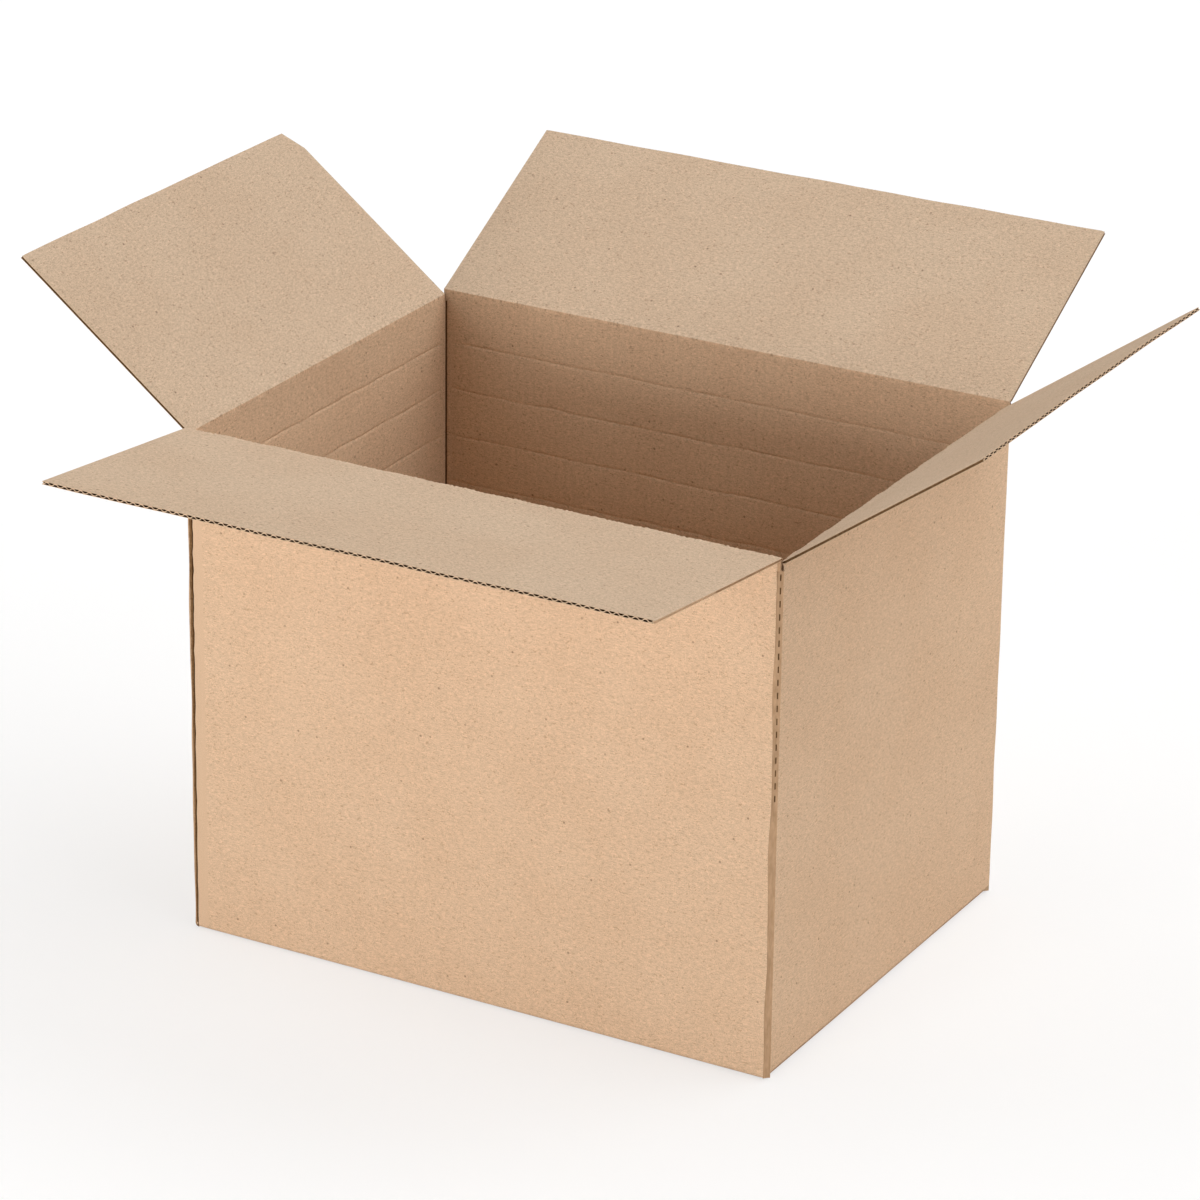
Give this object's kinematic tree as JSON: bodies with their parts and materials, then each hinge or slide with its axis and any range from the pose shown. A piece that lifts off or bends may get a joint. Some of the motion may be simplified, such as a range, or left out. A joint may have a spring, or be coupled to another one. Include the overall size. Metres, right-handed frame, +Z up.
{
  "type": "open cardboard box",
  "caption": "Open corrugated cardboard box: folded walls with score lines and perforated corners, a glued bottom, and hinged top flaps that lie open.",
  "frame": {"origin": "middle of the underside, where the two long bottom flaps meet", "axes": "+X along the long walls towards the right end, +Y towards the back wall, +Z up through the open top"},
  "size_m": [0.6365, 0.5739, 0.4134],
  "materials": {
    "board": "matte uncoated brown paper liner"
  },
  "bodies": {
    "body": {"carton_body": "board"},
    "front_flap": {"flap_front": "board"},
    "back_flap": {"flap_back": "board"},
    "left_flap": {"flap_left": "board"},
    "right_flap": {"flap_right": "board"}
  },
  "joints": [
    {"name": "front_fold", "type": "hinge", "parent": "body", "child": "front_flap", "pos_m": [0, -0.14928, 0.326], "axis": [1, 0, 0], "range_deg": [-174.2, 45.8]},
    {"name": "back_fold", "type": "hinge", "parent": "body", "child": "back_flap", "pos_m": [0, 0.14928, 0.326], "axis": [-1, 0, 0], "range_deg": [-151.1, 68.9]},
    {"name": "left_fold", "type": "hinge", "parent": "body", "child": "left_flap", "pos_m": [-0.19928, 0, 0.3232], "axis": [0, -1, 0], "range_deg": [-142.8, 77.2]},
    {"name": "right_fold", "type": "hinge", "parent": "body", "child": "right_flap", "pos_m": [0.19928, 0, 0.3232], "axis": [0, 1, 0], "range_deg": [-144.7, 75.3]}
  ]
}
